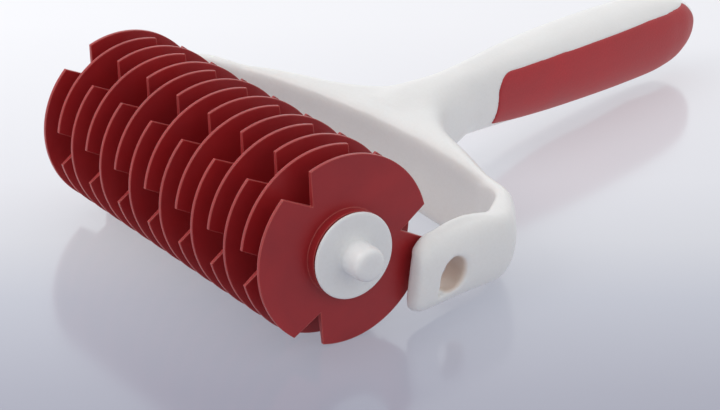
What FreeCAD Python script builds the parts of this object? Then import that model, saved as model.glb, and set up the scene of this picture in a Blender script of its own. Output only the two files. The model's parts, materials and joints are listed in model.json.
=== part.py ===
import FreeCAD, Part
import math
import os
import Sketcher
from FreeCAD import Vector, Placement, Rotation

# Kitchen lattice roller: a forked handle and a roller of fifteen notched
# cutting discs.  The roller lies on the table with its axis along X, unclipped
# from the +X arm of the fork, and the fork leans against its -X end.
#
# Model frame: +Z up, table at Z = 0, +Y towards the handle end.

doc = FreeCAD.newDocument("lattice_roller")
sheet = doc.addObject("Spreadsheet::Sheet", "dims")

# alias, value in mm or degrees; a text value is a formula on earlier rows
DIMS = [
    # cutting discs: local Z is the roller axis
    ("disc_radius", 23.0), ("disc_pitch", 7.2), ("disc_count", 15),
    ("rim_half_thick", 0.42), ("web_half_thick", 0.85),
    ("hub_radius", 9.5), ("hub_half_length", 3.58),
    ("notch_apex_radius", 15.4), ("notch_outer_radius", 26.0),
    ("notch_outer_half_width", 6.48), ("notch_count", 3),
    ("bore_hex_half", 5.03),
    ("bore_hex_corner", "=2 * bore_hex_half / sqrt(3)"),
    ("bore_hex_corner_half", "=bore_hex_corner / 2"),
    ("boss_radius", 10.4), ("boss_length", 3.25),
    # notch directions of odd and even discs, one sleeve flat apart
    ("phase_one", 86.0), ("phase_two", "=phase_one - 60"),
    # core sleeve and axle rod
    ("sleeve_half_length", 52.8), ("sleeve_hex_half", 5.0),
    ("sleeve_hex_corner", "=2 * sleeve_hex_half / sqrt(3)"),
    ("sleeve_hex_corner_half", "=sleeve_hex_corner / 2"),
    ("sleeve_bore_radius", 2.55), ("rod_radius", 2.5), ("rod_half_length", 55.8),
    # end caps: faces and ends are distances from the middle of the roller
    ("cap_inner_face", 54.1), ("cap_outer_face", 54.9), ("cap_radius", 10.55),
    ("pin_root_radius", 4.6), ("pin_root_end", 55.6), ("pin_radius", 4.2),
    ("pin_shank_end", 60.6), ("pin_nose_radius", 3.0), ("pin_tip", 62.1),
    ("socket_radius", 2.52), ("socket_end", 56.0), ("cap_edge_fillet", 0.3),
    # fork plan: X from its middle plane, Y from the seated roller axis
    ("arm_outer", 62.2), ("arm_inner", 55.8), ("arm_inner_front", 57.1),
    ("arm_front", 10.2), ("band_half_height", 10.0), ("bar_front", 34.4),
    ("neck_half_width", 5.3), ("neck_end", 66.0), ("neck_start", 53.0),
    ("outer_turn_x", 52.5), ("outer_turn_y", 31.2), ("outer_turn_end", 20.5),
    ("inner_turn_x", 44.5), ("inner_turn_end", 18.5),
    ("inner_corner_fillet", 14.0), ("outer_corner_fillet", 13.0),
    ("neck_fillet", 15.0), ("arm_end_fillet", 6.0), ("band_edge_fillet", 1.0),
    # arm holes and their flares
    ("arm_hole_radius", 4.26), ("flare_radius", 5.4),
    ("flare_face", 55.0), ("flare_end", 59.0),
    # lead-in grooves: groove_depth is reached at the front of the arm, and the
    # slope runs on to groove_reach; the cutter also laps the arm's inner face
    ("groove_half_height", 6.4), ("groove_depth", 2.9), ("groove_start", 0.6),
    ("groove_reach", 12.0), ("groove_lap", 1.0),
    ("groove_inner_x", "=arm_inner - groove_lap"),
    ("groove_front_x", "=arm_inner + groove_depth * (groove_reach + groove_start)"
                       " / (arm_front + groove_start)"),
    # handle sections: exponents above and below the widest line, which lies
    # section_centre above mid-height; grip_skin is the depth of the pad recess
    ("section_power", 2.5), ("belly_power", 1.9), ("section_centre", 0.8),
    ("grip_skin", 1.8),
    # grip pads, side outline: distance along the handle and height
    ("pad_front", 82.5), ("pad_top_front", 8.6), ("pad_low_front", -4.5),
    ("pad_low_a_at", 103.0), ("pad_low_a", -7.4),
    ("pad_low_b_at", 150.0), ("pad_low_b", -5.9),
    ("pad_end_a_at", 165.5), ("pad_end_a", -2.4),
    ("pad_end_b_at", 172.3), ("pad_end_b", 3.2),
    ("pad_end_c_at", 168.2), ("pad_top_back", 9.8), ("pad_corner_fillet", 3.4),
    # extent of the pad prisms in X, either side of the middle
    ("pad_inner", 2.6), ("pad_outer", 15.0),
    # how the fork stands: drooped about the roller axis, then swung on a pivot
    ("fork_droop", 2.6799), ("swing_angle", 14.6608),
    ("swing_axis_x", 0.014544), ("swing_axis_y", 0.395748), ("swing_axis_z", 0.918244),
    ("pivot_x", -59.3876), ("pivot_y", -10.4900), ("pivot_z", 27.0000),
    # table point below the middle of the roller
    ("origin_x", 3.846), ("origin_y", -81.816), ("origin_z", 0.0),
]
# handle sections from the fork to the tip:
# distance along the handle, half width, top, bottom
SECTIONS = [
    (50.0, 4.9, 8.5, -8.5), (60.0, 5.2, 9.2, -8.9), (70.0, 5.5, 9.7, -9.3),
    (82.0, 6.4, 10.4, -9.9), (100.0, 8.1, 11.3, -10.7), (122.0, 9.5, 12.0, -11.6),
    (145.0, 9.9, 12.0, -12.1), (160.0, 9.3, 11.4, -11.7), (169.0, 7.7, 9.8, -9.7),
    (174.0, 5.5, 7.5, -6.8), (176.8, 3.1, 4.8, -3.5), (178.0, 0.8, 1.9, 0.1),
]
SECTION_LETTERS = "abcdefghijkl"
SECTION_COLUMNS = ("at", "wide", "top", "low")
CORE_SECTIONS = 9    # the inset core stops short of the rounded tip
OVAL_POINTS = 20     # interpolated points round each section

cells = list(DIMS)
for letter, section in zip(SECTION_LETTERS, SECTIONS):
    for column, value in zip(SECTION_COLUMNS, section):
        cells.append(("grip_%s_%s" % (column, letter), value))
for row, (alias, value) in enumerate(cells, 1):
    sheet.set("A%d" % row, alias)
    sheet.set("B%d" % row, str(value))
    sheet.setAlias("B%d" % row, alias)
doc.recompute()


def dim(alias):
    return float(getattr(sheet, alias))


def dim_vector(prefix):
    return Vector(*(dim("%s_%s" % (prefix, axis)) for axis in "xyz"))


# ---------------------------------------------------------------- sketches
def plane(body, role):
    return next(f for f in body.Origin.OriginFeatures if f.Role == role)


def new_body(name):
    return doc.addObject("PartDesign::Body", name)


def new_sketch(body, name, role):
    sketch = body.newObject("Sketcher::SketchObject", name)
    sketch.AttachmentSupport = [(plane(body, role), "")]
    sketch.MapMode = "FlatFace"
    return sketch


def signed_dim(term):
    """Value of an alias, which may carry a leading minus; None is zero."""
    if term is None:
        return 0.0
    sign = -1.0 if term.startswith("-") else 1.0
    return sign * dim(term.lstrip("-"))


def bound_polygon(sketch, corners):
    """Closed polygon with corners tied to the sheet; None puts one on an axis."""
    points = [Vector(signed_dim(x), signed_dim(y), 0) for x, y in corners]
    count = len(points)
    first = sketch.GeometryCount
    for i in range(count):
        sketch.addGeometry(Part.LineSegment(points[i], points[(i + 1) % count]), False)
    for i in range(count):
        following = first + (i + 1) % count
        sketch.addConstraint(Sketcher.Constraint("Coincident", first + i, 2, following, 1))
    for i, (x_term, y_term) in enumerate(corners):
        line = first + i
        for kind, term, value, axis in (("DistanceX", x_term, points[i].x, -2),
                                        ("DistanceY", y_term, points[i].y, -1)):
            if term is None:
                sketch.addConstraint(Sketcher.Constraint("PointOnObject", line, 1, axis))
                continue
            index = sketch.addConstraint(Sketcher.Constraint(kind, -1, 1, line, 1, value))
            sign = "-" if term.startswith("-") else ""
            sketch.setExpression("Constraints[%d]" % index,
                                 "%sdims.%s" % (sign, term.lstrip("-")))


def bound_hexagon(sketch, prefix):
    """Hexagon with two corners on the sketch's vertical axis."""
    flat, corner, corner_half = prefix + "_half", prefix + "_corner", prefix + "_corner_half"
    bound_polygon(sketch, [(None, corner), (flat, corner_half), (flat, "-" + corner_half),
                           (None, "-" + corner), ("-" + flat, "-" + corner_half),
                           ("-" + flat, corner_half)])


def bound_circle(sketch, radius):
    circle = sketch.addGeometry(Part.Circle(Vector(0, 0, 0), Vector(0, 0, 1), dim(radius)), False)
    sketch.addConstraint(Sketcher.Constraint("Coincident", circle, 3, -1, 1))
    index = sketch.addConstraint(Sketcher.Constraint("Radius", circle, dim(radius)))
    sketch.setExpression("Constraints[%d]" % index, "dims." + radius)


# ---------------------------------------------------------------- features
def make_symmetric(feature):
    # the property's name depends on the FreeCAD release
    if hasattr(feature, "SideType"):
        feature.SideType = "Symmetric"
    else:
        feature.Midplane = True


def symmetric_pad(body, sketch, name, length):
    pad = body.newObject("PartDesign::Pad", name)
    pad.Profile = sketch
    make_symmetric(pad)
    pad.setExpression("Length", length)
    doc.recompute()


def revolve(body, sketch, name):
    turn = body.newObject("PartDesign::Revolution", name)
    turn.Profile = sketch
    turn.ReferenceAxis = (sketch, ["V_Axis"])
    turn.Angle = 360.0
    doc.recompute()


def finish_cut(body, feature, volume_before):
    """Recompute, and insist that the cut removes material."""
    body.Tip = feature
    doc.recompute()
    if body.Shape.Volume > volume_before - 1e-3:
        raise ValueError("%s removes nothing" % feature.Name)


def symmetric_pocket(body, sketch, name, length=None):
    """Cut to both sides of the sketch, through everything unless given a length."""
    doc.recompute()
    volume_before = body.Shape.Volume
    pocket = body.newObject("PartDesign::Pocket", name)
    pocket.Profile = sketch
    if length is None:
        pocket.Type = 1  # through all
    make_symmetric(pocket)
    if length is not None:
        pocket.setExpression("Length", length)
    finish_cut(body, pocket, volume_before)
    return pocket


def turned_groove(body, sketch, name, axis):
    doc.recompute()
    volume_before = body.Shape.Volume
    groove = body.newObject("PartDesign::Groove", name)
    groove.Profile = sketch
    groove.ReferenceAxis = (sketch, [axis])
    groove.Angle = 360.0
    finish_cut(body, groove, volume_before)


def fillet(body, name, pick, radius):
    """Round the edges for which pick(edge) is true."""
    doc.recompute()
    base = body.Tip
    edges = ["Edge%d" % i for i, edge in enumerate(base.Shape.Edges, 1) if pick(edge)]
    if not edges:
        raise ValueError("%s finds no edge" % name)
    rounding = body.newObject("PartDesign::Fillet", name)
    rounding.Base = (base, edges)
    rounding.setExpression("Radius", "dims." + radius)
    body.Tip = rounding
    doc.recompute()
    if "Invalid" in rounding.State or rounding.Shape.isNull() or not rounding.Shape.isValid():
        raise ValueError("%s failed" % name)


def combine(kind, name, base, tool):
    result = doc.addObject("Part::" + kind, name)
    result.Base = base
    result.Tool = tool
    doc.recompute()
    return result


nodes = []


def keep(obj, label, placement):
    """Place a finished piece and list it for export."""
    obj.Label = label
    obj.Placement = placement
    nodes.append(obj)


def turn_about(axis, angle):
    return Placement(Vector(0, 0, 0), Rotation(axis, angle))


X_AXIS, Y_AXIS, Z_AXIS = Vector(1, 0, 0), Vector(0, 1, 0), Vector(0, 0, 1)
shift = Placement(dim_vector("origin"), Rotation())
# takes local Z to the roller axis, pointing to +X
axle_line = shift * Placement(Vector(0, 0, dim("disc_radius")), Rotation(Y_AXIS, 90))


def phase_turn(phase):
    """Turn local Y to the phase angle, measured from +Z towards +Y."""
    return turn_about(Z_AXIS, 90.0 - dim(phase))


# ---------------------------------------------------------------- cutting discs
def disc_body(name, boss):
    body = new_body(name)
    section = new_sketch(body, name + "_section", "XZ_Plane")
    if boss:
        top_radius, top_face = "boss_radius", "boss_length"
    else:
        top_radius, top_face = "hub_radius", "hub_half_length"
    bound_polygon(section, [(None, "-hub_half_length"), ("hub_radius", "-hub_half_length"),
                            ("hub_radius", "-web_half_thick"),
                            ("disc_radius", "-rim_half_thick"),
                            ("disc_radius", "rim_half_thick"), (top_radius, "web_half_thick"),
                            (top_radius, top_face), (None, top_face)])
    revolve(body, section, name + "_turn")

    outline = new_sketch(body, name + "_notch_outline", "XY_Plane")
    bound_polygon(outline, [(None, "notch_apex_radius"),
                            ("notch_outer_half_width", "notch_outer_radius"),
                            ("-notch_outer_half_width", "notch_outer_radius")])
    notch = symmetric_pocket(body, outline, name + "_notch")
    ring = body.newObject("PartDesign::PolarPattern", name + "_notches")
    ring.Originals = [notch]
    ring.Axis = (plane(body, "Z_Axis"), [""])
    ring.Angle = 360.0
    ring.setExpression("Occurrences", "dims.notch_count")
    body.Tip = ring
    doc.recompute()

    bore = new_sketch(body, name + "_bore_outline", "XY_Plane")
    bound_hexagon(bore, "bore_hex")
    symmetric_pocket(body, bore, name + "_bore")
    return body


def build_discs():
    """Disc 01 is at the +X end; the two end discs carry bosses facing outwards.

    Turning every other disc one flat of the sleeve staggers the notches.
    """
    last = int(dim("disc_count")) - 1
    for i in range(last + 1):
        body = disc_body("disc_%02d" % (i + 1), i in (0, last))
        along = (last / 2.0 - i) * dim("disc_pitch")
        place = axle_line * Placement(Vector(0, 0, along), Rotation())
        place = place * phase_turn("phase_one" if i % 2 == 0 else "phase_two")
        if i == last:
            # turned end for end, so its boss faces -X
            place = place * turn_about(Y_AXIS, 180)
        keep(body, "cutter_disc_%02d" % (i + 1), place)


# ---------------------------------------------------------------- sleeve and rod
def build_sleeve():
    body = new_body("sleeve")
    outline = new_sketch(body, "sleeve_outline", "XY_Plane")
    bound_hexagon(outline, "sleeve_hex")
    symmetric_pad(body, outline, "sleeve_length", "2 * dims.sleeve_half_length")
    bore = new_sketch(body, "sleeve_bore_outline", "XY_Plane")
    bound_circle(bore, "sleeve_bore_radius")
    symmetric_pocket(body, bore, "sleeve_bore")
    keep(body, "core_sleeve", axle_line * phase_turn("phase_one"))


def build_rod():
    rod = doc.addObject("Part::Cylinder", "rod")
    rod.setExpression("Radius", "dims.rod_radius")
    rod.setExpression("Height", "2 * dims.rod_half_length")
    doc.recompute()
    start = Placement(Vector(0, 0, -dim("rod_half_length")), Rotation())
    keep(rod, "axle_rod", axle_line * start)


# ---------------------------------------------------------------- end caps
def cap_body(name):
    """Flange that stops against the arm, a pin that clips into it, and a blind
    socket pressed on the axle rod.  Local Z points outwards."""
    body = new_body(name)
    section = new_sketch(body, name + "_section", "XZ_Plane")
    bound_polygon(section, [(None, "cap_inner_face"), ("cap_radius", "cap_inner_face"),
                            ("cap_radius", "cap_outer_face"),
                            ("pin_root_radius", "cap_outer_face"),
                            ("pin_radius", "pin_root_end"), ("pin_radius", "pin_shank_end"),
                            ("pin_nose_radius", "pin_tip"), (None, "pin_tip")])
    revolve(body, section, name + "_turn")
    socket = new_sketch(body, name + "_socket_section", "XZ_Plane")
    bound_polygon(socket, [(None, "cap_inner_face"), ("socket_radius", "cap_inner_face"),
                           ("socket_radius", "socket_end"), (None, "socket_end")])
    turned_groove(body, socket, name + "_socket", "V_Axis")

    def flange_rim(edge):
        curve = edge.Curve
        return isinstance(curve, Part.Circle) and abs(curve.Radius - dim("cap_radius")) < 1e-6

    fillet(body, name + "_rim", flange_rim, "cap_edge_fillet")
    return body


def build_caps():
    """Near cap at the +X end of the roller, far cap at the -X end."""
    keep(cap_body("near_cap"), "near_end_cap", axle_line)
    keep(cap_body("far_cap"), "far_end_cap", axle_line * turn_about(X_AXIS, 180))


# ---------------------------------------------------------------- fork
# Local frame of fork and handle: X along the seated roller axis, Y towards the
# handle end, Z square to the fork's plane.
def end_points(edge):
    return [vertex.Point for vertex in edge.Vertexes]


def upright_at(*spots):
    """Picks edges along Z at the given (x, y) aliases, on both sides of X = 0."""
    places = [(dim(x), dim(y)) for x, y in spots]

    def pick(edge):
        if len(edge.Vertexes) != 2:
            return False
        start, end = end_points(edge)
        upright = (abs(start.z - end.z) > 1 and abs(start.x - end.x) < 1e-6
                   and abs(start.y - end.y) < 1e-6)
        return upright and any(abs(abs(start.x) - x) < 1e-4 and abs(start.y - y) < 1e-4
                               for x, y in places)
    return pick


def arm_tip(edge):
    """Edges across the front end of an arm, above and below."""
    if len(edge.Vertexes) != 2:
        return False
    start, end = end_points(edge)
    return (all(abs(p.y + dim("arm_front")) < 1e-4 for p in (start, end))
            and abs(start.z - end.z) < 1e-6 and abs(start.x - end.x) > 1)


def band_edge(edge):
    """Long edges of the band, without those across the arm tips and neck end."""
    points = end_points(edge)
    points.append(edge.valueAt((edge.FirstParameter + edge.LastParameter) / 2))
    if not all(abs(abs(p.z) - dim("band_half_height")) < 1e-5 for p in points):
        return False
    across = abs(points[0].x - points[1].x)
    if all(p.y < 0 for p in points) and across > 1:
        return False
    return all(p.y < dim("neck_end") - 1e-4 for p in points) or across < 1e-6


def fork_body():
    body = new_body("fork")
    plan = new_sketch(body, "fork_plan", "XY_Plane")
    right = [("neck_half_width", "neck_end"), ("neck_half_width", "neck_start"),
             ("outer_turn_x", "outer_turn_y"), ("arm_outer", "outer_turn_end"),
             ("arm_outer", "-arm_front"), ("arm_inner_front", "-arm_front"),
             ("arm_inner", "inner_turn_end"), ("inner_turn_x", "bar_front")]
    left = [("-" + x, y) for x, y in reversed(right)]
    bound_polygon(plan, right + left)
    symmetric_pad(body, plan, "fork_band", "2 * dims.band_half_height")

    fillet(body, "inner_corners",
           upright_at(("arm_inner", "inner_turn_end"), ("inner_turn_x", "bar_front")),
           "inner_corner_fillet")
    fillet(body, "outer_corners",
           upright_at(("arm_outer", "outer_turn_end"), ("outer_turn_x", "outer_turn_y")),
           "outer_corner_fillet")
    fillet(body, "neck_sweep", upright_at(("neck_half_width", "neck_start")), "neck_fillet")
    fillet(body, "arm_tips", arm_tip, "arm_end_fillet")
    fillet(body, "band_edges", band_edge, "band_edge_fillet")

    # sloping grooves in the arms' inner faces, from the holes to the front
    lead = new_sketch(body, "lead_in_outline", "XY_Plane")
    for side in ("", "-"):
        bound_polygon(lead, [(side + "arm_inner", "groove_start"),
                             (side + "groove_front_x", "-groove_reach"),
                             (side + "groove_inner_x", "-groove_reach"),
                             (side + "groove_inner_x", "groove_start")])
    symmetric_pocket(body, lead, "lead_in", "2 * dims.groove_half_height")

    hole = new_sketch(body, "arm_hole_outline", "YZ_Plane")
    bound_circle(hole, "arm_hole_radius")
    symmetric_pocket(body, hole, "arm_holes")

    # each hole widens towards the roller, so a pin can enter it at a slant
    flare = new_sketch(body, "hole_flare_section", "XY_Plane")
    for side in ("", "-"):
        bound_polygon(flare, [(side + "flare_face", None), (side + "flare_end", None),
                              (side + "flare_end", "arm_hole_radius"),
                              (side + "flare_face", "flare_radius")])
    turned_groove(body, flare, "hole_flares", "H_Axis")
    return body


# ---------------------------------------------------------------- handle
def oval(at, wide, top, low, inset):
    """Closed egg-shaped section of the handle, inset from its surface."""
    centre = (top + low) / 2.0 + dim("section_centre")
    points = []
    for k in range(OVAL_POINTS):
        angle = 2 * math.pi * k / OVAL_POINTS - math.pi / 2
        across, up = math.cos(angle), math.sin(angle)
        if up >= 0:
            power, tall = dim("section_power"), top - inset - centre
        else:
            power, tall = dim("belly_power"), centre - low - inset
        points.append(Vector((wide - inset) * math.copysign(abs(across) ** (2 / power), across),
                             at,
                             centre + tall * math.copysign(abs(up) ** (2 / power), up)))
    curve = Part.BSplineCurve()
    curve.interpolate(Points=points, PeriodicFlag=True)
    return Part.Wire([curve.toShape()])


def handle_loft(name, letters, inset):
    loft = doc.addObject("Part::Feature", name)
    sections = [[dim("grip_%s_%s" % (column, letter)) for column in SECTION_COLUMNS]
                for letter in letters]
    loft.Shape = Part.makeLoft([oval(*section, inset) for section in sections], True, False)
    return loft


def pad_prism(name, sign):
    """Side outline of a grip pad, carried outwards from near the middle."""
    body = new_body(name)
    side = new_sketch(body, name + "_outline", "YZ_Plane")
    bound_polygon(side, [("pad_front", "pad_top_front"), ("pad_front", "pad_low_front"),
                         ("pad_low_a_at", "pad_low_a"), ("pad_low_b_at", "pad_low_b"),
                         ("pad_end_a_at", "pad_end_a"), ("pad_end_b_at", "pad_end_b"),
                         ("pad_end_c_at", "pad_top_back")])
    middle = sign * (dim("pad_inner") + dim("pad_outer")) / 2
    side.AttachmentOffset = Placement(Vector(0, 0, middle), Rotation())
    symmetric_pad(body, side, name + "_width", "dims.pad_outer - dims.pad_inner")

    def crosswise(edge):
        points = end_points(edge)
        return len(points) == 2 and abs(points[0].x - points[1].x) > 1

    fillet(body, name + "_corners", crosswise, "pad_corner_fillet")
    return body


def fork_placement():
    seated = Placement(Vector(0, 0, dim("disc_radius")), Rotation(X_AXIS, -dim("fork_droop")))
    swing = Placement(Vector(0, 0, 0), Rotation(dim_vector("swing_axis"), dim("swing_angle")),
                      dim_vector("pivot"))
    return shift * swing * seated


def build_fork_and_handle():
    """Fork joined to the handle, and a grip pad in a recess on each side."""
    fork = fork_body()
    form = handle_loft("handle_form", SECTION_LETTERS, 0.0)
    core = handle_loft("handle_core", SECTION_LETTERS[:CORE_SECTIONS], dim("grip_skin"))
    sides = (("right", 1), ("left", -1))    # right is +X
    skins = {}
    pads = {}
    for side, sign in sides:
        prism = pad_prism("pad_prism_" + side, sign)
        skins[side] = combine("Cut", "pad_skin_" + side, prism, core)
        pads[side] = combine("Common", "pad_" + side, form, skins[side])
    handle = form
    for side, sign in sides:
        handle = combine("Cut", "handle_recess_" + side, handle, skins[side])
    frame = combine("Fuse", "fork_and_handle", fork, handle)

    place = fork_placement()
    keep(frame, "yoke_frame", place)
    for side, sign in sides:
        keep(pads[side], "grip_insert_" + side, place)


def export_pieces():
    for obj in doc.Objects:
        if "Invalid" in obj.State or "Error" in obj.State:
            raise ValueError("%s failed: %s" % (obj.Name, obj.State))
    os.makedirs("parts", exist_ok=True)
    for obj in nodes:
        shape = obj.Shape
        if shape.isNull() or not shape.isValid() or len(shape.Solids) != 1:
            raise ValueError("%s is not one valid solid" % obj.Label)
        shape.exportStep("parts/%s.step" % obj.Label)


build_discs()
build_sleeve()
build_rod()
build_caps()
build_fork_and_handle()
doc.recompute()
export_pieces()
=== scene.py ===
import bpy, json, math
import numpy as np
from mathutils import Matrix, Vector


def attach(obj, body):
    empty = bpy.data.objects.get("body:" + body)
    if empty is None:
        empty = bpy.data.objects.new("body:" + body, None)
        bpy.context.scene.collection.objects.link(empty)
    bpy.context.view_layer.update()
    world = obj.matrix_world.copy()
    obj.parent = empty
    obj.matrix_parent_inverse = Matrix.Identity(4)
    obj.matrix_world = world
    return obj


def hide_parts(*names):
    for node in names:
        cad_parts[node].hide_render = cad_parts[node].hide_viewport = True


# Lattice pastry cutter roller: forked white handle with two red grip pads, and
# an unclipped roller of fifteen notched red discs.  The roller's axle lies along
# x, with +z up; the fork is swung away from it about the roller_swing joint.
# Shapes are in millimetres until a mesh is made.  Meshes, materials, lights and
# the floor are in metres.

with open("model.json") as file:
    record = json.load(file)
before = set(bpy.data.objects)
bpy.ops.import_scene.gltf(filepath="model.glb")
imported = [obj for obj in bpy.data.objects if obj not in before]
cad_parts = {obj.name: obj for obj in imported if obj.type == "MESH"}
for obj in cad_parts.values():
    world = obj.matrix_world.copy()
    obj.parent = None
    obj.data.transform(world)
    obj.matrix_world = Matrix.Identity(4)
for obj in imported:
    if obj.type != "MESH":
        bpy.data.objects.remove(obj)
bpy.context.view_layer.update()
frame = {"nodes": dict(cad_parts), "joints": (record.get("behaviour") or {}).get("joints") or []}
scene = bpy.context.scene
MM = 0.001


# ------------------------------------------------------------ fork frame
def turn(axis, angle):
    """Rotation matrix about an axis."""
    unit = np.array(axis, float)
    unit = unit / np.linalg.norm(unit)
    cross = np.array([[0, -unit[2], unit[1]], [unit[2], 0, -unit[0]], [-unit[1], unit[0], 0]])
    return np.eye(3) + math.sin(angle) * cross + (1 - math.cos(angle)) * cross @ cross


joints = {joint["name"]: joint for joint in frame["joints"]}
swing = joints["roller_swing"]
PIVOT = np.array(swing["pos_m"]) * 1000.0
AXLE = np.array(joints["roller_spin"]["pos_m"]) * 1000.0    # middle of the roller
DROOP = math.radians(2.6799)
SWING_TURN = turn(swing["axis"], math.radians(swing["range_deg"][1]))

# x along the seated axle, y towards the handle tip, z square to both
FORK_TURN = SWING_TURN @ turn((1, 0, 0), -DROOP)
FORK_ORIGIN = PIVOT + SWING_TURN @ (AXLE - PIVOT)


def fork_to_row(points):
    return points @ FORK_TURN.T + FORK_ORIGIN


# ------------------------------------------------------------ meshes from volumes
def make_mesh(name, verts_mm, faces):
    mesh = bpy.data.meshes.new(name)
    mesh.from_pydata((verts_mm * MM).tolist(), [], faces)
    mesh.validate()
    mesh.update()
    mesh.polygons.foreach_set("use_smooth", [True] * len(mesh.polygons))
    ob = bpy.data.objects.new(name, mesh)
    scene.collection.objects.link(ob)
    return ob


def lerp(a, b, t):
    return a * (1 - t) + b * t


def sample(volume, origin, step, points):
    """Trilinear value and gradient of a volume at some points."""
    spot = (points - origin) / step
    spot = np.clip(spot, 0.001, np.array(volume.shape) - 1.002)
    cell = np.floor(spot).astype(int)
    fx, fy, fz = (spot - cell).T
    x, y, z = cell.T
    on_x, slope = {}, {}
    for j in (0, 1):
        for k in (0, 1):
            start, end = volume[x, y + j, z + k], volume[x + 1, y + j, z + k]
            on_x[j, k] = lerp(start, end, fx)
            slope[j, k] = end - start
    on_y = [lerp(on_x[0, k], on_x[1, k], fy) for k in (0, 1)]
    x_slopes = [lerp(slope[0, k], slope[1, k], fy) for k in (0, 1)]
    grad_x = lerp(*x_slopes, fz) / step
    grad_y = lerp(on_x[1, 0] - on_x[0, 0], on_x[1, 1] - on_x[0, 1], fz) / step
    grad_z = (on_y[1] - on_y[0]) / step
    return lerp(*on_y, fz), np.stack([grad_x, grad_y, grad_z], 1)


def relax_onto(verts, quads, volume, origin, step):
    """Even the points out along the surface, then bring them back onto it."""
    sides = np.concatenate([quads[:, [i, (i + 1) % 4]] for i in range(4)])
    total = np.zeros_like(verts)
    count = np.zeros(len(verts))
    for here, there in (sides.T, sides[:, ::-1].T):
        np.add.at(total, here, verts[there])
        np.add.at(count, here, 1)
    verts = verts * 0.35 + total / count[:, None] * 0.65
    for _ in range(2):
        value, grad = sample(volume, origin, step, verts)
        move = (value / np.maximum((grad * grad).sum(1), 0.15))[:, None] * grad
        length = np.linalg.norm(move, axis=1, keepdims=True)
        verts = verts - move * np.minimum(1, 0.5 * step / np.maximum(length, 1e-9))
    return verts


def surface_net(volume, origin, step, relax):
    """Quads on the zero level of a volume that is negative inside."""
    inside = volume < 0
    cells = tuple(n - 1 for n in volume.shape)
    total = np.zeros(cells + (3,))
    count = np.zeros(cells)
    edges = []
    for axis in range(3):
        start, end = [slice(None)] * 3, [slice(None)] * 3
        start[axis], end[axis] = slice(0, -1), slice(1, None)
        start, end = tuple(start), tuple(end)
        cross = inside[start] != inside[end]
        index = np.argwhere(cross)
        value = volume[start][cross]
        spot = index.astype(float)
        spot[:, axis] += value / (value - volume[end][cross])
        edges.append((axis, index, inside[start][cross]))
        side1, side2 = [k for k in range(3) if k != axis]
        for back1 in (0, 1):
            for back2 in (0, 1):
                cell = index.copy()
                cell[:, side1] -= back1
                cell[:, side2] -= back2
                ok = ((cell >= 0) & (cell < np.array(cells))).all(1)
                key = tuple(cell[ok].T)
                for k in range(3):
                    np.add.at(total[..., k], key, spot[ok, k])
                np.add.at(count, key, 1)
    used = count > 0
    number = -np.ones(cells, int)
    number[used] = np.arange(used.sum())
    verts = total[used] / count[used][:, None] * step + origin
    quads = []
    for axis, index, starts_inside in edges:
        side1, side2 = (axis + 1) % 3, (axis + 2) % 3
        unit1, unit2 = np.eye(3, dtype=int)[[side1, side2]]
        ok = ((index[:, side1] > 0) & (index[:, side2] > 0)
              & (index[:, side1] < cells[side1]) & (index[:, side2] < cells[side2]))
        cell = index[ok]
        around = (cell - unit1 - unit2, cell - unit2, cell, cell - unit1)
        quad = np.stack([number[tuple(corner.T)] for corner in around], 1)
        flip = ~starts_inside[ok]
        quad[flip] = quad[flip][:, ::-1]
        quads.append(quad)
    quads = np.concatenate(quads)
    for _ in range(relax):
        verts = relax_onto(verts, quads, volume, origin, step)
    return verts, quads


def mould(name, volume, origin, step, relax):
    """Mesh object of a volume given in the fork frame."""
    verts, quads = surface_net(volume, origin, step, relax)
    return make_mesh(name, fork_to_row(verts), quads.tolist())


# ------------------------------------------------------------ distances and outlines
def soft_max(a, b, blend):
    """Larger of two distances with the edge between them rounded by about blend."""
    near = np.maximum(blend - np.abs(a - b), 0) / blend
    return np.maximum(a, b) + near * near * blend * 0.25


def soft_min(a, b, blend):
    return -soft_max(-a, -b, blend)


def rise(value, start, end):
    """0 at start and before, 1 at end and after, straight between."""
    return np.clip((value - start) / (end - start), 0, 1)


def smooth(t):
    return t * t * (3 - 2 * t)


def grid(low, high, step):
    axes = [np.arange(low[i], high[i] + step * 0.5, step) for i in range(3)]
    return np.array(low, float), np.meshgrid(*axes, indexing="ij", sparse=True)


def polygon_distance(px, py, polygon):
    """Signed distance to a closed polygon, negative inside."""
    best = np.full(np.broadcast(px, py).shape, 1e9)
    odd = np.zeros(best.shape, bool)
    for (x0, y0), (x1, y1) in zip(polygon, polygon[1:] + polygon[:1]):
        dx, dy = x1 - x0, y1 - y0
        t = np.clip(((px - x0) * dx + (py - y0) * dy) / (dx * dx + dy * dy + 1e-12), 0, 1)
        best = np.minimum(best, (px - x0 - t * dx) ** 2 + (py - y0 - t * dy) ** 2)
        if y0 != y1:
            odd ^= ((y0 > py) != (y1 > py)) & (px < (x1 - x0) * (py - y0) / (y1 - y0) + x0)
    dist = np.sqrt(best)
    return np.where(odd, -dist, dist)


ARC_STEPS = 10


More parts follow.
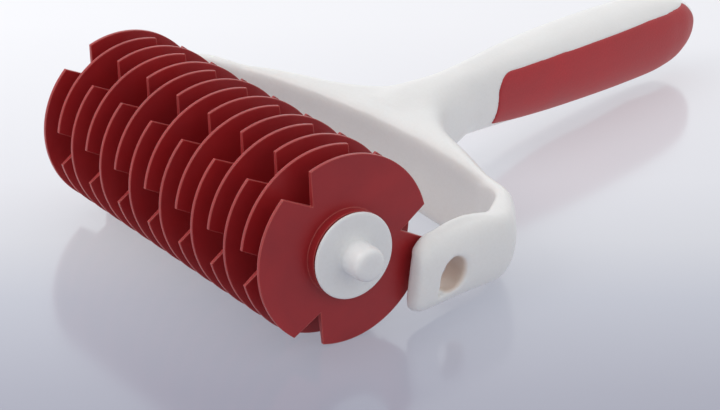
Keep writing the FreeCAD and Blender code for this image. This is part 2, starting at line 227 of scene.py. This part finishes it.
def rounded(points):
    """Polygon with some corners replaced by arcs; points are (x, y, radius)."""
    out = []
    for i, point in enumerate(points):
        corner = np.array(point[:2], float)
        radius = point[2]
        a = np.array(points[i - 1][:2], float) - corner
        b = np.array(points[(i + 1) % len(points)][:2], float) - corner
        len_a, len_b = np.linalg.norm(a), np.linalg.norm(b)
        a, b = a / len_a, b / len_b
        half = math.acos(max(-1, min(1, float(a @ b)))) / 2
        if radius <= 0 or half > math.pi / 2 - 0.01:
            out.append(tuple(corner))
            continue
        cut = min(radius / math.tan(half), len_a * 0.49, len_b * 0.49)
        radius = cut * math.tan(half)
        centre = corner + (a + b) / np.linalg.norm(a + b) * (radius / math.sin(half))
        start, end = corner + a * cut - centre, corner + b * cut - centre
        angle = math.atan2(start[1], start[0])
        sweep = math.atan2(end[1], end[0]) - angle
        sweep = (sweep + math.pi) % (2 * math.pi) - math.pi
        for k in range(ARC_STEPS + 1):
            t = angle + sweep * k / ARC_STEPS
            out.append((centre[0] + radius * math.cos(t), centre[1] + radius * math.sin(t)))
    return out


def mirrored(half):
    """Whole outline from its +x half."""
    return half + [(-x, y, radius) for x, y, radius in reversed(half) if x > 0]


# ------------------------------------------------------------ handle form
# y, half width, top z, bottom z
SECTIONS = np.array([
    (44.0, 4.6, 7.4, -7.2), (50.0, 5.1, 9.0, -7.3), (60.0, 5.8, 10.9, -7.5),
    (70.0, 6.3, 11.6, -7.8), (82.0, 7.1, 12.3, -8.2), (100.0, 8.6, 13.6, -8.9),
    (122.0, 9.8, 13.9, -9.7), (147.0, 10.1, 13.4, -10.1), (162.0, 9.5, 12.4, -9.8),
    (171.0, 7.9, 10.7, -8.1), (176.2, 5.7, 8.4, -5.4), (179.2, 3.2, 5.8, -2.6),
    (180.4, 0.9, 3.0, 0.6)])
SECTION_STEP = 0.2
EASE_SPREAD = 4.0       # spread of the smoothing along y
EASE_REACH = 60         # its reach, in steps
HANDLE_END = 180.8


def section_table():
    """Half width, top and bottom at fine steps, eased between the given sections."""
    stations = SECTIONS[:, 0]
    fine_y = np.arange(stations[0], stations[-1] + 0.01, SECTION_STEP)
    i = np.clip(np.searchsorted(stations, fine_y, side="right") - 1, 0, len(stations) - 2)
    gap = stations[i + 1] - stations[i]
    t = (fine_y - stations[i]) / gap
    reach = EASE_REACH
    steps = np.arange(-reach, reach + 1)
    kernel = np.exp(-0.5 * (steps * SECTION_STEP / EASE_SPREAD) ** 2)
    near_tip = smooth(rise(fine_y, 148.0, 164.0))
    columns = []
    for value in SECTIONS[:, 1:].T:
        slope = np.gradient(value, stations)
        raw = ((2 * t**3 - 3 * t**2 + 1) * value[i] + (t**3 - 2 * t**2 + t) * gap * slope[i]
               + (-2 * t**3 + 3 * t**2) * value[i + 1] + (t**3 - t**2) * gap * slope[i + 1])
        padded = np.concatenate([2 * raw[0] - raw[reach:0:-1], raw,
                                 2 * raw[-1] - raw[-2:-reach - 2:-1]])
        soft = np.convolve(padded, kernel / kernel.sum(), mode="valid")
        # the tip keeps its unsmoothed curve
        columns.append(lerp(soft, raw, near_tip))
    return fine_y, columns


SECTION_Y, SECTION_COLUMNS = section_table()


def handle_distance(x, y, z, step):
    """Superellipse sections, squarer above the centre than below it."""
    wide, top, low = [np.interp(y, SECTION_Y, column) for column in SECTION_COLUMNS]
    centre = (top + low) / 2 + 0.8
    above = z >= centre
    tall = np.maximum(np.where(above, top - centre, centre - low), 0.35)
    power = np.where(above, 2.5, 1.9)
    wide = np.maximum(wide, 0.35)
    level = (np.abs(x / wide) ** power + np.abs((z - centre) / tall) ** power
             + 1e-9) ** (1 / power)
    gx, gy, gz = np.gradient(level, step)
    grad = np.sqrt(gx * gx + gy * gy + gz * gz)
    dist = np.clip((level - 1) / np.maximum(grad, 0.02), -8, 12)
    return np.maximum(dist, y - HANDLE_END)


# side view of a grip pad: y, z, corner radius
PAD_OUTLINE = rounded([
    (82.4, 9.7, 5.5), (84.4, -5.3, 1.2), (97, -7.0, 14), (110, -8.2, 14), (150, -9.0, 10),
    (171.0, -7.6, 10), (180.6, 0.4, 6), (172.4, 9.9, 3.5), (150, 10.6, 40), (110, 10.4, 40)])
PAD_DEPTH, SEAT_DEPTH = 1.45, 1.5       # below the handle's skin
PAD_INNER_X, SEAT_INNER_X = 3.0, 2.9    # from the middle plane
SEAT_INSET = 0.55                       # inside the pad's outline


def pad_side_distance(y, z):
    return polygon_distance(y[0, :, :], z[0, :, :], PAD_OUTLINE)[None, :, :]


# ------------------------------------------------------------ fork and handle, one moulding
FORK_STEP = 0.6
FORK_HALF_HEIGHT = 10.0
FORK_END = 73.0             # y, inside the root of the handle
HANDLE_START = 44.5         # y
# +x halves of the plan outlines: x, y, corner radius
FORK_OUTER = rounded(mirrored([
    (62.2, -30, 0), (62.5, 8.0, 30), (63.4, 21.5, 12), (53.6, 33.0, 12), (6.6, 53.4, 31),
    (6.6, 90, 0)]))
FORK_INNER = rounded(mirrored([
    (57.4, -30, 0), (57.1, -10.2, 0), (55.8, 18.0, 10), (50.6, 28.4, 8), (36.0, 32.6, 20),
    (18.0, 35.8, 20), (0.0, 36.9, 20)]))

# arm ends: side view rounding, then plan rounding of the outer corner
NOSE_END, NOSE_MID_Z, NOSE_HALF_HEIGHT, NOSE_R = -11.5, 0.45, 10.45, 6.6
NOSE_PLAN_X, NOSE_PLAN_Y, NOSE_PLAN_R = 59.2, -7.4, 4.4

# x values are distances out from the middle plane
BORE_R, BORE_START = 4.36, 52.0
FLARE_R, FLARE_ROOT, FLARE_END = 4.3, 59.0, 59.2
MOUTH_ROOT, MOUTH_START, MOUTH_SLOPE = 61.5, 61.0, 1.1
NOTCH_Y, NOTCH_Z, NOTCH_R, NOTCH_START = -3.1, -3.2, 1.7, 60.6
LEAD_X, LEAD_TOP, LEAD_HALF_HEIGHT, LEAD_LENGTH = 55.8, 0.6, 6.4, 10.8


def fork_body(x, y, z):
    d_out = polygon_distance(x[:, :, 0], y[:, :, 0], FORK_OUTER)[:, :, None]
    d_in = polygon_distance(x[:, :, 0], y[:, :, 0], FORK_INNER)[:, :, None]
    out = np.abs(x)
    # arms and corners have a D section: flat inside, fully rounded outside
    arm = smooth(rise(out, 20.0, 54.0))
    height = np.clip(np.abs(z) / 10.4, 0, 0.995)
    curve = 1 - (1 - height**2.2) ** (1 / 2.2)
    crown = curve * np.where(z > 0, 2.2 + 3.6 * arm, 5.0 + 2.6 * arm)
    # the crossbar's face towards the roller is hollowed between its two edges
    bar = smooth(rise(y, 24.0, 32.0) * rise(out, 50.0, 40.0))
    hollow = 1.5 * np.clip(1 - (z / 8.6) ** 2, 0, 1) * bar
    # the +x arm is thicker on its inside towards the pin hole
    thick = np.where(x > 0, 1.1, 0.0) * rise(y, 17.0, -5.0)
    side = soft_max(d_out + crown, -(d_in - hollow + thick), 1.0)
    # the top is higher at the arm ends, lower at the corners and towards the handle
    back = rise(y, 30.0, 52.0) * rise(out, 56.0, 36.0)
    neck = smooth(rise(y, 43.0, 61.0))
    web = smooth(rise(y, 58.0, 76.0))
    arm_end = smooth(rise(y, 22.0, 8.0))
    corner = smooth(rise(out, 30.0, 48.0) * rise(y, 5.0, 19.0))
    top = z - (FORK_HALF_HEIGHT + 0.45 * arm + 0.9 * arm_end - 1.4 * corner - 0.5 * back
               - 3.5 * web)
    bottom = -z - (FORK_HALF_HEIGHT + 0.7 * bar - 4.0 * neck)
    dist = soft_max(side, top, 1.5 + 4.0 * bar)
    dist = soft_max(dist, bottom, 3.2 - 2.0 * bar)
    return soft_max(dist, y - FORK_END, 8.0)


def round_noses(dist, x, y, z):
    """Round the free ends of the arms."""
    past_y = np.maximum(-(y - NOSE_END) + NOSE_R, 0)
    past_z = np.maximum(np.abs(z - NOSE_MID_Z) - (NOSE_HALF_HEIGHT - NOSE_R), 0)
    nose = np.sqrt(past_y * past_y + past_z * past_z) - NOSE_R
    plan = np.sqrt(np.maximum(np.abs(x) - NOSE_PLAN_X, 0) ** 2 * 1.5
                   + np.maximum(-(y - NOSE_PLAN_Y), 0) ** 2) - NOSE_PLAN_R
    nose = soft_max(nose, np.where(y < -4, plan, -4.0), 1.5)
    return np.where(y < 5, soft_max(dist, nose - 2.5 * rise(y, -3.0, 5.0), 2.2), dist)


def cut_pin_holes(dist, x, y, z):
    """Lead-in on the inside of each arm, and the pin holes with their flares."""
    out = np.abs(x)
    depth = LEAD_X + np.where(x > 0, 1.1, 2.9) * (LEAD_TOP - y) / LEAD_LENGTH
    lead = np.maximum(np.maximum(out - depth, np.abs(z) - LEAD_HALF_HEIGHT), y - LEAD_TOP)
    dist = soft_max(dist, -lead, 0.7)
    r = np.sqrt(y * y + z * z)
    bore = np.maximum(r - BORE_R, BORE_START - out)
    flare_r = FLARE_R + (FLARE_ROOT - out) * np.where(x > 0, 0.02, 0.285)
    flare = np.maximum(r - flare_r, np.maximum(BORE_START - out, out - FLARE_END))
    mouth_r = BORE_R + (out - MOUTH_ROOT) * MOUTH_SLOPE
    mouth = np.maximum(r - mouth_r, MOUTH_START - out) * 0.7
    hole = np.minimum(np.minimum(bore, flare), mouth)
    # small round notch low on the outer mouth of the +x hole
    notch_r = np.sqrt((y - NOTCH_Y) ** 2 + (z - NOTCH_Z) ** 2)
    notch = np.maximum(notch_r - NOTCH_R, NOTCH_START - out)
    hole = np.where(x > 0, soft_min(hole, notch, 0.9), hole)
    return soft_max(dist, -hole, 0.55)


def build_yoke():
    origin, (x, y, z) = grid((-64.2, -12.6, -13.2), (64.2, 182.4, 16.2), FORK_STEP)
    dist = fork_body(x, y, z)
    dist = round_noses(dist, x, y, z)
    dist = cut_pin_holes(dist, x, y, z)
    # handle joined with a soft blend
    form = handle_distance(x, y, z, FORK_STEP)
    started = np.where(y < HANDLE_START, form + (HANDLE_START - y) * 2.0, form)
    dist = soft_min(dist, started, 5.0)
    seat = np.maximum(np.maximum(-(form + SEAT_DEPTH), pad_side_distance(y, z) + SEAT_INSET),
                      SEAT_INNER_X - np.abs(x))
    dist = soft_max(dist, -seat, 0.3)
    return mould("fork_and_handle", dist, origin, FORK_STEP, relax=2)


PAD_STEP = 0.3


def build_pad(name, sign):
    x_low, x_high = sorted((sign * 0.6, sign * 12.6))
    origin, (x, y, z) = grid((x_low, 79.8, -11.6), (x_high, 181.6, 14.2), PAD_STEP)
    form = handle_distance(x, y, z, PAD_STEP)
    side = pad_side_distance(y, z)
    # the skin stands 0.36 mm proud and rolls down to 0.2 mm at its edge
    proud = 0.16 * np.clip(-side / 1.2, 0, 1) ** 0.5 + 0.2
    dist = soft_max(form - proud, side, 0.4)
    dist = soft_max(dist, -(form + PAD_DEPTH), 0.5)
    dist = soft_max(dist, PAD_INNER_X - np.abs(x), 0.5)
    return mould(name, dist, origin, PAD_STEP, relax=3)


# ------------------------------------------------------------ end caps, turned profiles
CAP_SEGMENTS = 96
SOCKET_R, SOCKET_FLOOR = 2.56, 55.98
PIN_R, FILLET_R, FILLET_START = 4.2, 0.75, 55.0
NOSE_START, NOSE_LENGTH, NOSE_CORE_R, NOSE_DROP, CAP_TIP = 60.3, 1.55, 2.45, 1.62, 62.0
# distance along the axle from the roller's middle, radius
FLANGE = [(54.12, SOCKET_R), (54.12, 9.9), (54.16, 10.2), (54.28, 10.42), (54.46, 10.5),
          (54.62, 10.46), (54.78, 10.32), (54.87, 10.05), (54.9, 9.6), (54.86, 8.4),
          (54.82, 7.0), (54.84, 5.9), (54.92, 5.1)]
PIN = [(56.4, PIN_R), (58.0, PIN_R), (59.6, 4.18), (60.2, 4.12)]
NOSE_FACE = [(61.93, 2.2), (61.97, 1.6), (61.99, 0.9)]


def cap_profile():
    """From the socket's rim round the flange, along the pin to its nose."""
    fillet, nose = [], []
    for k in range(1, 7):
        t = math.pi / 2 * k / 6
        fillet.append((FILLET_START + FILLET_R * (1 - math.cos(t)),
                       PIN_R + FILLET_R * (1 - math.sin(t))))
    for k in range(1, 8):
        t = math.pi / 2 * k / 8
        nose.append((NOSE_START + NOSE_LENGTH * math.sin(t),
                     NOSE_CORE_R + NOSE_DROP * math.cos(t)))
    return FLANGE + fillet + PIN + nose + NOSE_FACE


def build_cap(name, sign):
    n = CAP_SEGMENTS

    def ring(along, radius):
        turns = [2 * math.pi * k / n for k in range(n)]
        return [(sign * along, radius * math.cos(t), radius * math.sin(t)) for t in turns]

    profile = cap_profile()
    verts = [vert for point in profile for vert in ring(*point)]
    last = (len(profile) - 1) * n
    tip = len(verts)
    verts.append((sign * CAP_TIP, 0, 0))
    # blind socket for the rod
    socket = len(verts)
    verts += ring(SOCKET_FLOOR, SOCKET_R)
    socket_centre = len(verts)
    verts.append((sign * SOCKET_FLOOR, 0, 0))

    pairs = [(k, (k + 1) % n) for k in range(n)]
    faces = [[i + k, i + j, i + n + j, i + n + k] for i in range(0, last, n) for k, j in pairs]
    faces += [[last + k, last + j, tip] for k, j in pairs]
    for k, j in pairs:
        faces.append([socket + k, socket + j, j, k])
        faces.append([socket_centre, socket + j, socket + k])
    if sign < 0:
        faces = [face[::-1] for face in faces]
    return make_mesh(name, np.array(verts) + AXLE, faces)


# ------------------------------------------------------------ node helpers
def add(tree, kind, inputs, **settings):
    """New node; each input is linked if given a socket, else set."""
    node = tree.nodes.new(kind)
    for key, value in settings.items():
        setattr(node, key, value)
    feed(tree, node, inputs)
    return node


def feed(tree, node, inputs):
    for key, value in inputs.items():
        socket = node.inputs[key]
        if isinstance(value, bpy.types.NodeSocket):
            tree.links.new(value, socket)
        elif socket.type == "RGBA":
            socket.default_value = tuple(value) + (1.0,)
        else:
            socket.default_value = value


def new_material(name):
    mat = bpy.data.materials.new(name)
    mat.use_nodes = True
    return mat, mat.node_tree, mat.node_tree.nodes["Principled BSDF"]


def ramp(tree, source, stops):
    """Colour ramp; stops are (position, colour)."""
    node = add(tree, "ShaderNodeValToRGB", {0: source})
    elements = node.color_ramp.elements
    while len(elements) < len(stops):
        elements.new(0.5)
    for element, (position, colour) in zip(elements, stops):
        element.position = position
        element.color = tuple(colour) + (1.0,)
    return node.outputs[0]


def grey(value):
    return (value,) * 3


def mix(tree, fac, a, b, blend="MIX"):
    node = add(tree, "ShaderNodeMix", {}, data_type="RGBA", blend_type=blend)
    feed(tree, node, {0: fac, 6: a, 7: b})
    return node.outputs[2]


def multiply(tree, a, b):
    return mix(tree, 1.0, a, b, blend="MULTIPLY")


def math_node(tree, operation, a, b, clamp=False):
    return add(tree, "ShaderNodeMath", {0: a, 1: b},
               operation=operation, use_clamp=clamp).outputs[0]


def vector_math(tree, operation, inputs, output):
    return add(tree, "ShaderNodeVectorMath", dict(enumerate(inputs)),
               operation=operation).outputs[output]


def noise(tree, coord, scale, detail, rough, distortion=0.0):
    return add(tree, "ShaderNodeTexNoise", {
        "Scale": scale, "Detail": detail, "Roughness": rough, "Distortion": distortion,
        "Vector": coord}).outputs["Fac"]


def coords(tree, output="Object"):
    return add(tree, "ShaderNodeTexCoord", {}).outputs[output]


def bump(tree, height, strength, distance, normal=None):
    inputs = {"Strength": strength, "Distance": distance, "Height": height}
    if normal is not None:
        inputs["Normal"] = normal
    return add(tree, "ShaderNodeBump", inputs).outputs["Normal"]


def edge_mask(tree, radius, gain):
    """0 on flat faces, towards 1 on sharp edges; also gives the rounded normal."""
    soft = add(tree, "ShaderNodeBevel", {"Radius": radius}, samples=4).outputs["Normal"]
    true = add(tree, "ShaderNodeNewGeometry", {}).outputs["Normal"]
    away = math_node(tree, "SUBTRACT", 1.0,
                     vector_math(tree, "DOT_PRODUCT", (soft, true), "Value"))
    return math_node(tree, "MULTIPLY", away, gain, clamp=True), soft


# ------------------------------------------------------------ materials
def white_plastic(name, base, rough, scale_shift, hole=None):
    """White moulding; hole is (point on the pin hole axis, direction), round which the walls get
    painted shade.
    """
    mat, tree, bsdf = new_material(name)
    co = coords(tree)
    cloud = noise(tree, co, scale=38.0 + scale_shift, detail=4.0, rough=0.55)
    fine = noise(tree, co, scale=900.0, detail=3.0, rough=0.6)
    specks = noise(tree, co, scale=1300.0 + scale_shift, detail=2.0, rough=0.5)
    tone = ramp(tree, cloud, [(0.35, [v * 0.955 for v in base]), (0.65, base)])
    speck = ramp(tree, specks, [(0.35, grey(1)), (0.75, (0.975, 0.972, 0.968))])
    colour = multiply(tree, tone, speck)
    # painted shade: the walls of the pin holes get a darker, warmer colour that stands in for
    # the shade inside them
    if hole is not None:
        # the moulding looks warmer and deeper on the walls of its pin holes
        point, direction = hole
        away = vector_math(tree, "SUBTRACT", (co, point), "Vector")
        across = vector_math(tree, "CROSS_PRODUCT", (away, direction), "Vector")
        reach = vector_math(tree, "LENGTH", (across,), "Value")
        # stops are radii in centimetres
        painted_hole_shade = ramp(tree, math_node(tree, "MULTIPLY", reach, 100.0),
                    [(0.43, (0.90, 0.76, 0.66)), (0.50, grey(1))])
        colour = multiply(tree, colour, painted_hole_shade)
    feed(tree, bsdf, {
        "Base Color": colour,
        "Roughness": ramp(tree, cloud, [(0.3, grey(rough - 0.01)), (0.7, grey(rough + 0.07))]),
        "Normal": bump(tree, fine, strength=0.10, distance=0.00005),
        "Subsurface Weight": 0.22,
        "Subsurface Radius": (0.9, 0.75, 0.68),
        "Subsurface Scale": 0.0022,
        "Specular IOR Level": 0.5,
        "IOR": 1.49})
    return mat


def red_roller():
    """Semi-matte red moulding, paler along its thin edges as painted rim highlights."""
    mat, tree, bsdf = new_material("roller_red_plastic")
    co = coords(tree)
    edge, soft = edge_mask(tree, radius=0.00042, gain=5.0)
    cloud = noise(tree, co, scale=60.0, detail=4.0, rough=0.6, distortion=0.4)
    patches = noise(tree, co, scale=160.0, detail=3.0, rough=0.6)
    grain = noise(tree, co, scale=1500.0, detail=2.0, rough=0.5)
    base = ramp(tree, cloud, [(0.3, (0.285, 0.0075, 0.0110)), (0.7, (0.355, 0.0105, 0.0130))])
    # painted highlight: thin disc edges are mixed towards a pale red that stands in for rim
    # light through the translucent plastic
    painted_rim_light = math_node(tree, "MULTIPLY", edge, 0.6)
    feed(tree, bsdf, {
        "Base Color": mix(tree, painted_rim_light, base, (0.74, 0.15, 0.12)),
        "Roughness": ramp(tree, patches, [(0.3, grey(0.36)), (0.7, grey(0.47))]),
        "Normal": bump(tree, grain, strength=0.16, distance=0.00006, normal=soft),
        "Subsurface Weight": 0.12,
        "Subsurface Radius": (1.0, 0.12, 0.08),
        "Subsurface Scale": 0.0016,
        "Specular IOR Level": 0.55,
        "Sheen Weight": 0.06,
        "Sheen Roughness": 0.5})
    return mat


def red_grip():
    """Soft-touch grip: fine stipple, low sheen, a little dust-pale variation."""
    mat, tree, bsdf = new_material("grip_red_soft_touch")
    co = coords(tree)
    cloud = noise(tree, co, scale=45.0, detail=5.0, rough=0.6, distortion=0.6)
    base = ramp(tree, cloud, [(0.28, (0.36, 0.017, 0.023)), (0.72, (0.43, 0.022, 0.029))])
    stipple = add(tree, "ShaderNodeTexVoronoi",
                  {"Scale": 1900.0, "Vector": co}).outputs["Distance"]
    grain = ramp(tree, stipple, [(0.0, grey(1.06)), (0.55, grey(0.93))])
    feed(tree, bsdf, {
        "Base Color": multiply(tree, base, grain),
        "Roughness": ramp(tree, cloud, [(0.3, grey(0.50)), (0.7, grey(0.62))]),
        "Normal": bump(tree, stipple, strength=0.22, distance=0.00012),
        "Sheen Weight": 0.18,
        "Sheen Roughness": 0.45,
        "Sheen Tint": (1.0, 0.72, 0.70),
        "Specular IOR Level": 0.42})
    return mat


def rod_steel():
    """Steel with fine lines drawn out along the rod."""
    mat, tree, bsdf = new_material("rod_drawn_steel")
    stretched = add(tree, "ShaderNodeMapping", {
        "Scale": (40.0, 1600.0, 1600.0), "Vector": coords(tree)}).outputs["Vector"]
    lines = noise(tree, stretched, scale=1.0, detail=4.0, rough=0.6)
    feed(tree, bsdf, {
        "Base Color": ramp(tree, lines, [(0.3, (0.50, 0.50, 0.51)), (0.7, (0.66, 0.66, 0.67))]),
        "Roughness": ramp(tree, lines, [(0.3, grey(0.24)), (0.7, grey(0.40))]),
        "Normal": bump(tree, lines, strength=0.15, distance=0.00004),
        "Metallic": 1.0})
    return mat


# axis of the pin hole whose walls get painted shade in the frame's colour
HOLE_POINT = fork_to_row(np.array([60.0, 0.0, 0.0])) * MM
HOLE_AXIS = FORK_TURN[:, 0]
MAT_FRAME = white_plastic("frame_white_plastic", base=(0.80, 0.795, 0.785), rough=0.30,
                          scale_shift=0.0, hole=(HOLE_POINT.tolist(), HOLE_AXIS.tolist()))
MAT_CAP = white_plastic("cap_white_plastic", base=grey(0.80), rough=0.30, scale_shift=7.0)
MAT_ROLLER = red_roller()
MAT_GRIP = red_grip()
MAT_ROD = rod_steel()


# ------------------------------------------------------------ pieces
def dress(ob, mat):
    ob.data.materials.clear()
    ob.data.materials.append(mat)
    for poly in ob.data.polygons:
        poly.material_index = 0


def install(ob, mat, carrier, node):
    dress(ob, mat)
    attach(ob, carrier)
    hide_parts(node)


install(build_yoke(), MAT_FRAME, "handle", "yoke_frame")
for side, sign in (("right", 1), ("left", -1)):
    install(build_pad("grip_pad_" + side, sign), MAT_GRIP, "handle",
            "grip_insert_" + side)
for end, sign in (("near", 1), ("far", -1)):
    install(build_cap(end + "_pin_cap", sign), MAT_CAP, "axle", end + "_end_cap")

for name, ob in frame["nodes"].items():
    if name.startswith("cutter_disc") or name == "core_sleeve":
        dress(ob, MAT_ROLLER)
    elif name == "axle_rod":
        dress(ob, MAT_ROD)

# ------------------------------------------------------------ floor
FLOOR_HALF, FLOOR_Z = 6.0, -0.0001
FLOOR_DIFFUSE = 0.44        # share of the tone that scatters light
FLOOR_GLOW = 0.80           # strength of the tone's own light


def floor_material():
    """Pale glossy table, partly self-lit, with painted light: brighter away from the camera and
    towards the left.
    """
    mat = bpy.data.materials.new("pale_table")
    mat.use_nodes = True
    tree = mat.node_tree
    tree.nodes.clear()
    co = coords(tree)

    def along(direction, start, span):
        reach = vector_math(tree, "DOT_PRODUCT", (co, direction), "Value")
        shifted = math_node(tree, "SUBTRACT", reach, start)
        return math_node(tree, "DIVIDE", shifted, span, clamp=True)

    away = along((-0.8243, 0.5662, 0.0), start=-0.151, span=0.35)
    rightward = along((0.5662, 0.8243, 0.0), start=-0.153, span=0.24)
    # painted light: the tone ramps give the light's falloff, brighter away from the camera and
    # towards the left; they set both the diffuse colour and the glow
    tone = ramp(tree, away, [
        (0.0, (0.270, 0.276, 0.345)), (0.10, (0.322, 0.329, 0.398)),
        (0.234, (0.42, 0.435, 0.50)), (0.331, (0.53, 0.54, 0.585)),
        (0.443, (0.605, 0.612, 0.655)), (0.80, (0.69, 0.695, 0.73))])
    painted_sideways_falloff = ramp(tree, rightward, [(0.0, (1.06, 1.06, 1.055)), (1.0, (0.94, 0.94, 0.945))])
    tone = multiply(tree, tone, painted_sideways_falloff)
    diffuse = add(tree, "ShaderNodeBsdfDiffuse",
                  {"Color": multiply(tree, tone, grey(FLOOR_DIFFUSE))})
    glow = add(tree, "ShaderNodeEmission", {"Color": tone, "Strength": FLOOR_GLOW})
    both = add(tree, "ShaderNodeAddShader", {0: diffuse.outputs[0], 1: glow.outputs[0]})
    gloss = add(tree, "ShaderNodeBsdfAnisotropic", {"Roughness": 0.14, "Color": grey(1.0)})
    fresnel = add(tree, "ShaderNodeFresnel", {"IOR": 1.62})
    surface = add(tree, "ShaderNodeMixShader", {
        0: fresnel.outputs[0], 1: both.outputs[0], 2: gloss.outputs[0]})
    add(tree, "ShaderNodeOutputMaterial", {0: surface.outputs[0]})
    return mat


floor_mesh = bpy.data.meshes.new("studio_floor")
floor_mesh.from_pydata([(i * FLOOR_HALF, j * FLOOR_HALF, FLOOR_Z)
                        for i, j in ((-1, -1), (1, -1), (1, 1), (-1, 1))], [], [(0, 1, 2, 3)])
floor = bpy.data.objects.new("studio_floor", floor_mesh)
scene.collection.objects.link(floor)
floor_mesh.materials.append(floor_material())


# ------------------------------------------------------------ light
def area(name, location, target, size, power, color=(1, 1, 1)):
    data = bpy.data.lights.new(name, "AREA")
    data.shape = "RECTANGLE"
    data.size, data.size_y = size
    data.energy = power
    data.color = color
    ob = bpy.data.objects.new(name, data)
    ob.location = location
    ob.rotation_mode = "QUATERNION"
    ob.rotation_quaternion = (Vector(target) - Vector(location)).to_track_quat("-Z", "Y")
    scene.collection.objects.link(ob)


area("key_top", location=(-0.25, 0.10, 0.75), target=(0, 0, 0), size=(0.9, 0.9), power=0.85)
area("fill_left", location=(-0.20, -0.62, 0.66), target=(0, -0.03, 0.02), size=(0.6, 0.5),
     power=2.5, color=(1.0, 0.98, 0.96))
area("fill_right", location=(0.75, -0.05, 0.35), target=(0.02, -0.03, 0.02), size=(0.5, 0.5),
     power=0.30, color=(1.0, 0.99, 0.97))

ROOM_COLOUR = (0.73, 0.735, 0.75)
BACKDROP_COLOUR = (1.15, 1.15, 1.16)


def build_world():
    """A white backdrop low behind the table, and an even pale room round it."""
    world = bpy.data.worlds.new("studio_world")
    scene.world = world
    world.use_nodes = True
    tree = world.node_tree
    tree.nodes.clear()

    def facing(direction, start, end):
        """0 to 1, eased, as the view turns towards a direction."""
        view = coords(tree, "Generated")
        cosine = vector_math(tree, "DOT_PRODUCT", (view, direction), "Value")
        return add(tree, "ShaderNodeMapRange", {
            "From Min": start, "From Max": end, "Value": cosine},
            interpolation_type="SMOOTHSTEP").outputs["Result"]

    behind = facing((-0.88, 0.475, 0.0), start=0.62, end=0.95)
    low = math_node(tree, "SUBTRACT", 1.0, facing((0.0, 0.0, 1.0), start=0.30, end=0.50))
    backdrop = math_node(tree, "MULTIPLY", behind, low)
    background = add(tree, "ShaderNodeBackground", {
        "Color": mix(tree, backdrop, ROOM_COLOUR, BACKDROP_COLOUR), "Strength": 1.0})
    add(tree, "ShaderNodeOutputWorld", {0: background.outputs[0]})


build_world()

scene.view_settings.view_transform = "Standard"
scene.view_settings.look = "None"
scene.view_settings.exposure = 0.0

# ------------------------------------------------------------ camera
# mm: x and y from the roller's middle, z from the row frame's origin
CAMERA_OFFSET = np.array([472.8226, -285.6734, 255.1109])
CAMERA_RIGHT = (0.56620931, 0.82426150, 0.0)
CAMERA_UP = (-0.32791874, 0.22525696, 0.91745769)
CAMERA_BACK = (0.75622505, -0.51947308, 0.39783338)

camera_data = bpy.data.cameras.new("camera")
camera_data.sensor_width = 36.0
camera_data.lens = 123.43425
camera_data.clip_start = 0.05
camera_data.clip_end = 20.0
camera = bpy.data.objects.new("camera", camera_data)
scene.collection.objects.link(camera)
pose = Matrix((CAMERA_RIGHT, CAMERA_UP, CAMERA_BACK)).transposed().to_4x4()
pose.translation = (CAMERA_OFFSET + AXLE * (1, 1, 0)) * MM
camera.matrix_world = pose
scene.camera = camera
